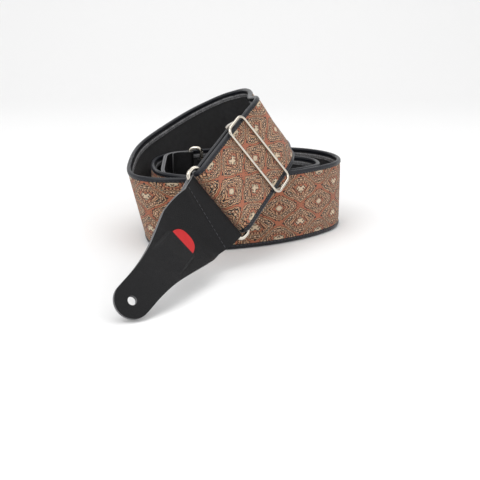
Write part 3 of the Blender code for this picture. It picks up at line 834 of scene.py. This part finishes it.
def prism(name, place, outline, depth, finish, soft, flat=False):
    """An outline, in (x, z) or in (x, y) where flat, drawn out to this depth and softened."""
    shape, spread = blank_shape()
    sides = []
    for reach in (-depth / 2, depth / 2):
        spots = [place.at(x, reach, v) if flat else place.at(x, v, reach) for x, v in outline]
        sides.append([shape.verts.new(spot) for spot in spots])
    for k in range(len(outline)):
        j = (k + 1) % len(outline)
        corner_face(shape, spread, (sides[0][k], sides[0][j], sides[1][j], sides[1][k]), [(0.0, 0.0)] * 4)
    for side in sides:
        corner_face(shape, spread, side, outline)
    made = finish_mesh(name, shape, [finish])
    soften(made, soft, 3)
    return made


def strip(name, place, path, thick, half_width, finish, body):
    """A strip of even thickness along a path of (y, z) points, this wide either side."""
    left = []
    right = []
    for k, (y, z) in enumerate(path):
        dy, dz = path_direction(path, k)
        left.append((y - dz * thick / 2.0, z + dy * thick / 2.0))
        right.append((y + dz * thick / 2.0, z - dy * thick / 2.0))
    outline = left + right[::-1]
    shape, spread = blank_shape()
    sides = []
    for x in (-half_width, half_width):
        sides.append([shape.verts.new(place.at(x, z, y)) for y, z in outline])
    for k in range(len(outline)):
        j = (k + 1) % len(outline)
        marks = [(end * half_width, 2.0 * mark) for end, mark in ((-1, k), (-1, j), (1, j), (1, k))]
        corner_face(shape, spread, (sides[0][k], sides[0][j], sides[1][j], sides[1][k]), marks)
    for side in sides:
        corner_face(shape, spread, side, [(y, z) for y, z in outline])
    made = finish_mesh(name, shape, [finish], 50.0)
    soften(made, 0.25)
    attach(made, body)
    return made


def soften(piece, width, segments=2):
    bevel = piece.modifiers.new("soft_edges", "BEVEL")
    bevel.width = width * MM
    bevel.segments = segments
    bevel.limit_method = "ANGLE"
    bevel.angle_limit = math.radians(50.0)


# ---------------------------------------------------------------- tabs

COLUMNS = (-2.0, -1.94, -1.75, -1.5, -1.25, -1.0, -0.92, -LIP_FLAT, -0.6, -0.3, 0.0,
           0.3, 0.6, LIP_FLAT, 0.92, 1.0, 1.25, 1.5, 1.75, 1.94, 2.0)


def tab_half_width(distance, length):
    half = TAB_HALF + (TONGUE_HALF - TAB_HALF) * ease(distance / SHOULDER_END)
    past = distance - (length - TONGUE_HALF)
    if past > 0.0:
        half = math.sqrt(max(TONGUE_HALF ** 2 - past ** 2, 0.04))
    return half


def column_offset(column, distance, length):
    """Columns up to 1 follow the pocket's slit; those beyond spread to the outline."""
    half = tab_half_width(distance, length)
    slit = SLIT_HALF * min(1.0, (half - 0.8) / (SLIT_HALF + 0.8))
    size = abs(column)
    offset = slit * size if size <= 1.0 else slit + (half - slit) * (size - 1.0)
    return math.copysign(offset, column)


def tab_distances(length, pocket):
    marks = [2.0 * k for k in range(1, 80) if 2.0 * k < length - TONGUE_HALF]
    if pocket:
        marks += [SLIT_AT]
    tip = [length - TONGUE_HALF + TONGUE_HALF * math.sin(math.radians(a)) for a in range(8, 89, 8)]
    return sorted(marks + tip)


def face_height(distance):
    low = TAB_LEATHER / 2.0 + TAB_GAP / 2.0
    return TAB_FOLD_RADIUS + (low - TAB_FOLD_RADIUS) * ease(distance / 16.0)


def lip_rise(column, distance):
    if distance < SLIT_AT or distance > LIP_END or abs(column) >= 1.0:
        return 0.0
    across = 1.0 - ease((abs(column) - LIP_FLAT) / (1.0 - LIP_FLAT))
    down = 1.0 - ease((distance - LIP_FLAT_END) / (LIP_END - LIP_FLAT_END))
    return LIP_RISE * across * down


def grid_leather(name, low, high, marks, body, slit_row=-1):
    """Closes a leather between two grids of points, with the raw edge as its own finish, whose grey is
    partly painted highlight.
    """
    shape, spread = blank_shape()
    last = len(COLUMNS) - 1
    inner = [c for c, column in enumerate(COLUMNS) if abs(column) < 1.0]
    grids = []
    for points in (low, high):
        grid = []
        for k, line in enumerate(points):
            made = []
            for c, point in enumerate(line):
                joined = k == slit_row + 1 and slit_row >= 0 and c not in inner
                made.append(grid[slit_row][c] if joined else shape.verts.new(point))
            grid.append(made)
        grids.append(grid)
    for k in range(len(low) - 1):
        if k == slit_row:
            continue
        for c in range(last):
            for grid in grids:
                corners = (grid[k][c], grid[k + 1][c], grid[k + 1][c + 1], grid[k][c + 1])
                flat = (marks[k][c], marks[k + 1][c], marks[k + 1][c + 1], marks[k][c + 1])
                corner_face(shape, spread, corners, flat)
        for c in (0, last):
            corners = (grids[0][k][c], grids[1][k][c], grids[1][k + 1][c], grids[0][k + 1][c])
            flat = (marks[k][c], marks[k][c], marks[k + 1][c], marks[k + 1][c])
            corner_face(shape, spread, corners, flat, 1)
    walls = [(k, range(last)) for k in (0, len(low) - 1)]
    if slit_row >= 0:
        walls += [(k, range(inner[0] - 1, inner[-1] + 1)) for k in (slit_row, slit_row + 1)]
    for k, span in walls:
        for c in span:
            corners = (grids[0][k][c], grids[0][k][c + 1], grids[1][k][c + 1], grids[1][k][c])
            flat = (marks[k][c], marks[k][c + 1], marks[k][c + 1], marks[k][c])
            corner_face(shape, spread, corners, flat, 1)
    made = finish_mesh(name, shape, ["leather", "cut_edge_and_painted_highlight"], 50.0)
    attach(made, body)
    return made


def tab_face(word, route, length, pocket):
    rows = [(TAB_FLAP * share, -TAB_FOLD_RADIUS) for share in (1.0, 0.8, 0.6, 0.4, 0.2)]
    for k in range(TAB_FOLD_PARTS + 1):
        angle = math.radians(270.0 - 180.0 / TAB_FOLD_PARTS * k)
        rows.append((TAB_FOLD_RADIUS * math.cos(angle), TAB_FOLD_RADIUS * math.sin(angle)))
    rows += [(distance, face_height(distance)) for distance in tab_distances(length, pocket)]
    slit_row = -1
    if pocket:
        slit_row = [k for k, row in enumerate(rows) if row[0] == SLIT_AT][0]
    grids = {-1.0: [], 1.0: []}
    marks = []
    for k, (distance, height) in enumerate(rows):
        dy, dz = path_direction(rows, k)
        marks.append([(column_offset(c, max(distance, 0.0), length), distance + height) for c in COLUMNS])
        for side, grid in grids.items():
            along = distance - dz * side * TAB_LEATHER / 2.0
            out = height + dy * side * TAB_LEATHER / 2.0
            place = place_at(route, max(along, 0.0))
            line = []
            for column in COLUMNS:
                rise = lip_rise(column, distance) if pocket and k > slit_row else 0.0
                x = column_offset(column, max(distance, 0.0), length)
                line.append(place.at(x, out + rise, min(along, 0.0)))
            grid.append(line)
    return grid_leather(word + "_tab_face_leather", grids[-1.0], grids[1.0], marks, word + "_tab", slit_row)


def tab_backing(word, route, length, pocket):
    low, high, marks = [], [], []
    top = -TAB_GAP / 2.0
    for distance in sorted(set(tab_distances(length, pocket))):
        place = place_at(route, distance)
        line = [column_offset(column, distance, length) for column in COLUMNS]
        low.append([place.at(x, top - TAB_BACKING) for x in line])
        high.append([place.at(x, top) for x in line])
        marks.append([(x, distance) for x in line])
    return grid_leather(word + "_tab_back_leather", low, high, marks, word + "_tab")


def cut_hole(pieces, place, name):
    radius = BUTTON_HOLE / 2.0 * MM
    bpy.ops.mesh.primitive_cylinder_add(vertices=HOLE_SIDES, radius=radius, depth=PUNCH_LENGTH * MM)
    cutter = bpy.context.active_object
    cutter.name = name
    rows = Matrix((place.wide, place.along, place.out)).transposed().to_4x4()
    rows.translation = to_metres(place.point)
    cutter.matrix_world = rows
    cutter.data.materials.append(material("cut_edge_and_painted_highlight"))
    bpy.context.view_layer.update()
    for piece in pieces:
        cut = piece.modifiers.new("button_hole", "BOOLEAN")
        cut.object = cutter
        cut.operation = "DIFFERENCE"
        cut.material_mode = "TRANSFER"
        soften(piece, 0.3)
        apply_modifiers(piece)
    bpy.data.objects.remove(cutter, do_unlink=True)


def apply_modifiers(piece):
    """Makes a piece's modified shape its own."""
    graph = bpy.context.evaluated_depsgraph_get()
    solid = bpy.data.meshes.new_from_object(piece.evaluated_get(graph))
    piece.modifiers.clear()
    piece.data = solid


def build_tab(word, bar, runs, pocket):
    route = tab_places(bar, runs)
    length = float(sum(run[0] for run in runs))
    face = tab_face(word, route, length, pocket)
    backing = tab_backing(word, route, length, pocket)
    cut_hole((face, backing), place_at(route, length - HOLE_FROM_TIP), word + "_hole_punch")
    height = face_height(TAB_STITCH_AT) + TAB_LEATHER / 2.0 + 0.15
    spots = [(TAB_STITCH_AT, TAB_STITCH_FIRST + TAB_STITCH_PITCH * k, height) for k in range(TAB_STITCHES)]
    stitches = stitch_row(word + "_tab_stitches", route, spots, TAB_STITCH, word + "_tab", across=True)
    for piece, node, slot in ((face, "_tab_face", "leather"), (backing, "_tab_backing", "leather"),
                              (stitches, "_tab_stitching", "thread")):
        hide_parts(word + node)
    return route


# ---------------------------------------------------------------- operators

class STRAP_OT_band(bpy.types.Operator):
    """Weave the face, the lining and the padding along the band's route"""
    bl_idname = "strap.band"
    bl_label = "Band"

    def execute(self, context):
        top = LAYER_LOW + FABRIC_THICK
        length = distances(BAND)[-1]
        face = ribbon("woven_face", BAND, crowned_outline(CLOTH_HALF, LAYER_LOW, top), "jacquard")
        back = ribbon("woven_lining", BAND, flat_outline(CLOTH_HALF, -top, -LAYER_LOW), "lining")
        middle = flat_outline(PADDING_HALF, -PADDING_HALF_THICK, PADDING_HALF_THICK)
        pad = ribbon("foam_padding", BAND, middle, "foam")
        for piece, node, slot in ((face, "band_face_fabric", "jacquard"), (back, "band_lining", "lining"),
                                  (pad, "band_padding", "foam")):
            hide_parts(node)
        return {"FINISHED"}


class STRAP_OT_trim(bpy.types.Operator):
    """Bind the band's edges, stitch them and lay the hem strips inside"""
    bl_idname = "strap.trim"
    bl_label = "Edges and hems"

    def execute(self, context):
        trim = context.scene.strap_trim
        pitch = trim.stitch_pitch / MM
        length = distances(BAND)[-1]
        inner = EDGE_ROOT - 0.9
        for side, word in ((1.0, "upper"), (-1.0, "lower")):
            edge = ribbon(word + "_bound_edge", BAND, edge_outline(side), "edging", sharp=60.0)
            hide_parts("bound_edge_" + word)
            hem = [(x * side, z) for x, z in hem_outline(inner)]
            tape = ribbon(word + "_hem_tape", BAND, hem, "hem_tape", sharp=60.0)
            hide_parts("hem_strip_" + word)
            size = (trim.stitch_length / MM, EDGE_STITCH_WIDTH, EDGE_STITCH_THICK)
            x = side * (EDGE_ROOT + EDGE_STITCH_INSET)
            spots = [(pitch * (k + 0.5), x, EDGE_STITCH_HEIGHT) for k in range(int(length / pitch))]
            row = stitch_row(word + "_edge_stitches", BAND, spots, size)
            spots = [(pitch * (k + 0.5), side * (inner - 1.8), -HEM_TOP - HEM_THICK - 0.1)
                     for k in range(int((length - 30.0) / pitch))]
            row = stitch_row(word + "_hem_stitches", BAND, spots, HEM_STITCH)
        return {"FINISHED"}


def hem_outline(outer):
    """The folded tape's outline, a little uneven so that it reads as cloth."""
    low = -HEM_TOP - HEM_THICK
    return [(outer - 3.6, -HEM_TOP), (outer - 3.8, low + 0.2), (outer - 3.4, low), (outer - 1.8, low + 0.15),
            (outer - 0.3, low), (outer, low + 0.2), (outer - 0.1, -HEM_TOP)]


class STRAP_OT_tail(bpy.types.Operator):
    """Carry the band's tail back under the run to the slider"""
    bl_idname = "strap.tail"
    bl_label = "Tail"

    def execute(self, context):
        start = to_metres(TAIL[0].point)
        end = to_metres(TAIL[-1].point)
        length = distances(TAIL)[-1]
        face = crowned_outline(CLOTH_HALF, TAIL_INNER, TAIL_OUTER)
        back = flat_outline(CLOTH_HALF, -TAIL_OUTER, -TAIL_INNER)
        pieces = [
            (ribbon("tail_weave", TAIL, face, "jacquard", None), "jacquard"),
            (ribbon("tail_lining", TAIL, back, "lining", None), "lining"),
            (ribbon("tail_upper_edge", TAIL, tail_edge_outline(1.0), "edging", None, 60.0), "edging"),
            (ribbon("tail_lower_edge", TAIL, tail_edge_outline(-1.0), "edging", None, 60.0), "edging"),
        ]
        for piece, slot in pieces:
            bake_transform(piece)
            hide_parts("band_tail")
        return {"FINISHED"}


def tail_edge_outline(side):
    """The tail's edging is flatter, so that it clears the run above it."""
    return [(x, z * TAIL_EDGE_SQUASH) for x, z in edge_outline(side)]


class STRAP_OT_slider(bpy.types.Operator):
    """Bend the slider's wire frame and hang its centre bar and the strap's end loop on it"""
    bl_idname = "strap.slider"
    bl_label = "Slider"

    def execute(self, context):
        place = run_place(SLIDER_SETBACK)
        points = rounded_loop(SLIDER_HALF_LENGTH, SLIDER_HALF_WIDTH, SLIDER_CORNER)
        hoop = wire("slider_hoop", points, place.moved(0.0, 0.0, SLIDER_LIFT), SLIDER_WIRE, "slider")
        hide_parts("slider_frame")
        bar = self.centre_bar(place)
        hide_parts("slider_center_bar")
        leg = BAR_THICK / 2.0 + 0.7
        bend_at = -(BAR_WIDTH / 2.0 - 0.2)
        path = [(END_LOOP_REACH, -BAR_DROP - leg), (bend_at, -BAR_DROP - leg)]
        for k in range(11):
            angle = math.radians(250.0 - 14.0 * k)
            path.append((bend_at + leg * math.cos(angle), -BAR_DROP + leg * math.sin(angle)))
        path += [(BAR_WIDTH / 2.0 + 0.6, -BAR_DROP + leg), (7.6, -BAR_DROP - leg + 0.9),
                 (END_LOOP_REACH, -BAR_DROP - leg + 0.9)]
        loop = strip("slider_strap_loop", place, path, END_LOOP_THICK, END_LOOP_HALF, "edging", "slider")
        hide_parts("slider_end_loop")
        return {"FINISHED"}

    def centre_bar(self, place):
        top = SLIDER_LIFT - SLIDER_WIRE / 2.0 - BAR_CLEARANCE
        outer = SLIDER_HALF_LENGTH + BAR_THICK / 2.0
        inner = outer - BAR_THICK
        low = -BAR_DROP - BAR_THICK / 2.0
        floor = low + BAR_THICK
        outline = [(-outer, top), (-inner, top), (-inner, floor), (inner, floor), (inner, top), (outer, top),
                   (outer, low), (-outer, low)]
        made = prism("slider_cross_bar", place, outline, BAR_WIDTH, "nickel", 0.4)
        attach(made, "slider")
        return made


class STRAP_OT_rings(bpy.types.Operator):
    """Bend both rings, and fold the loop that holds the rear one"""
    bl_idname = "strap.rings"
    bl_label = "Rings"

    def execute(self, context):
        half = RING_SPACING / 2.0
        points = [(x, y + half, z) for x, y, z in rounded_loop(RING_HALF_LENGTH, half, RING_CORNER)]
        for word, place in (("front", FRONT_RING), ("rear", REAR_RING)):
            ring = wire(word + "_wire_ring", points, place, RING_WIRE, word + "_ring")
            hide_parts(word + "_ring")
        leg = REAR_LOOP_RADIUS
        reach = REAR_RING_SETBACK + REAR_LOOP_REACH
        path = [(reach, -leg)]
        for k in range(REAR_LOOP_PARTS + 1):
            angle = math.radians(270.0 - 180.0 / REAR_LOOP_PARTS * k)
            path.append((leg * math.cos(angle), leg * math.sin(angle)))
        path.append((reach, leg))
        loop = strip("rear_leather_loop", REAR_BAR, path, REAR_LOOP_THICK, REAR_LOOP_HALF, "leather", "band")
        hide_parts("rear_end_loop")
        return {"FINISHED"}


class STRAP_OT_tabs(bpy.types.Operator):
    """Cut, fold, stitch and punch both leather tabs, and slip the pick into its pocket"""
    bl_idname = "strap.tabs"
    bl_label = "Tabs and pick"

    def execute(self, context):
        route = build_tab("front", FRONT_TAB, FRONT_TAB_RUNS, True)
        build_tab("rear", REAR_TAB, REAR_TAB_RUNS, False)
        height = face_height(SLIT_AT) + TAB_LEATHER / 2.0 + 0.25 + PICK_THICK / 2.0
        place = place_at(route, SLIT_AT).moved(0.0, 0.0, height)
        made = prism("plastic_pick", place, self.pick_outline(), PICK_THICK, "pick_red", 0.25, flat=True)
        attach(made, "pick")
        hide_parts("pick")
        return {"FINISHED"}

    def pick_outline(self):
        """A round top that narrows to a blunt tip."""
        points = []
        for k in range(PICK_SIDES):
            angle = 2.0 * math.pi * k / PICK_SIDES
            down = -math.copysign(abs(math.cos(angle)) ** PICK_SQUARENESS, math.cos(angle))
            side = math.copysign(abs(math.sin(angle)) ** PICK_SQUARENESS, math.sin(angle))
            taper = 1.0 - PICK_TAPER * ease((down + 0.1) / 1.1)
            reach = PICK_IN if down > 0.0 else PICK_OUT
            points.append((PICK_HALF_WIDTH * side * taper, reach * down))
        return points


class STRAP_OT_stage(bpy.types.Operator):
    """Lay the floor, hang the soft lights and place the camera"""
    bl_idname = "strap.stage"
    bl_label = "Stage"

    def execute(self, context):
        look = context.scene.strap_stage
        self.floor()
        for name, spot, size, share in LAMPS:
            lamp = bpy.data.lights.new(name, "AREA")
            lamp.energy = look.key_power * share
            lamp.size = size
            holder = show(name, lamp)
            holder.location = spot
            aim = LAMP_AIM - Vector(spot)
            holder.rotation_euler = aim.to_track_quat("-Z", "Y").to_euler()
        world = bpy.data.worlds.new("room")
        world.use_nodes = True
        air = world.node_tree.nodes["Background"]
        air.inputs[0].default_value = (1.0, 1.0, 1.0, 1.0)
        air.inputs[1].default_value = look.sky
        context.scene.world = world
        context.scene.view_settings.view_transform = "Standard"
        self.camera(context)
        return {"FINISHED"}

    def floor(self):
        """A floor that curves up into a backdrop."""
        profile = [(FLOOR_FRONT, -FLOOR_DROP), (BEND_START, -FLOOR_DROP)]
        for k in range(1, BEND_PARTS + 1):
            angle = math.radians(90.0 / BEND_PARTS * k)
            rise = BEND_RADIUS * (1.0 - math.cos(angle)) - FLOOR_DROP
            profile.append((BEND_START + BEND_RADIUS * math.sin(angle), rise))
        profile.append((BEND_START + BEND_RADIUS, BACKDROP_TOP))
        shape = bmesh.new()
        lines = [[shape.verts.new((x, y, z)) for y, z in profile] for x in (-FLOOR_SIDE, FLOOR_SIDE)]
        for k in range(len(profile) - 1):
            shape.faces.new((lines[0][k], lines[1][k], lines[1][k + 1], lines[0][k + 1]))
        mesh = bpy.data.meshes.new("floor")
        shape.to_mesh(mesh)
        shape.free()
        mesh.materials.append(material("backdrop"))
        mesh.shade_smooth()
        show("floor", mesh)

    def camera(self, context):
        lens = bpy.data.cameras.new("camera")
        lens.lens = CAMERA_LENS
        lens.sensor_width = CAMERA_SENSOR
        lens.clip_start = CAMERA_CLIP
        holder = show("camera", lens)
        holder.location = to_metres(UP * CAMERA_HEIGHT)
        holder.rotation_euler = (math.radians(CAMERA_TILT), 0.0, 0.0)
        context.scene.camera = holder


class STRAP_PT_panel(bpy.types.Panel):
    """Lists the strap's settings and the steps that build it"""
    bl_label = "Guitar Strap"
    bl_space_type = "VIEW_3D"
    bl_region_type = "UI"
    bl_category = "Strap"

    def draw(self, context):
        for name, group in SETTINGS.items():
            box = self.layout.box()
            for prop in group.__annotations__:
                box.prop(getattr(context.scene, name), prop)
        for operator in OPERATORS:
            self.layout.operator(operator.bl_idname)


SETTINGS = {"strap_cloth": StrapCloth, "strap_trim": StrapTrim, "strap_stage": StrapStage}
OPERATORS = (STRAP_OT_band, STRAP_OT_trim, STRAP_OT_tail, STRAP_OT_slider, STRAP_OT_rings, STRAP_OT_tabs,
             STRAP_OT_stage)


def register():
    for name, group in SETTINGS.items():
        bpy.utils.register_class(group)
        setattr(bpy.types.Scene, name, PointerProperty(type=group))
    for operator in OPERATORS:
        bpy.utils.register_class(operator)
    bpy.utils.register_class(STRAP_PT_panel)


def unregister():
    bpy.utils.unregister_class(STRAP_PT_panel)
    for operator in reversed(OPERATORS):
        bpy.utils.unregister_class(operator)
    for name, group in reversed(SETTINGS.items()):
        delattr(bpy.types.Scene, name)
        bpy.utils.unregister_class(group)


def main():
    register()
    bpy.ops.strap.band()
    bpy.ops.strap.trim()
    bpy.ops.strap.tail()
    bpy.ops.strap.slider()
    bpy.ops.strap.rings()
    bpy.ops.strap.tabs()
    bpy.ops.strap.stage()
    bpy.context.view_layer.update()


if __name__ == "__main__":
    main()
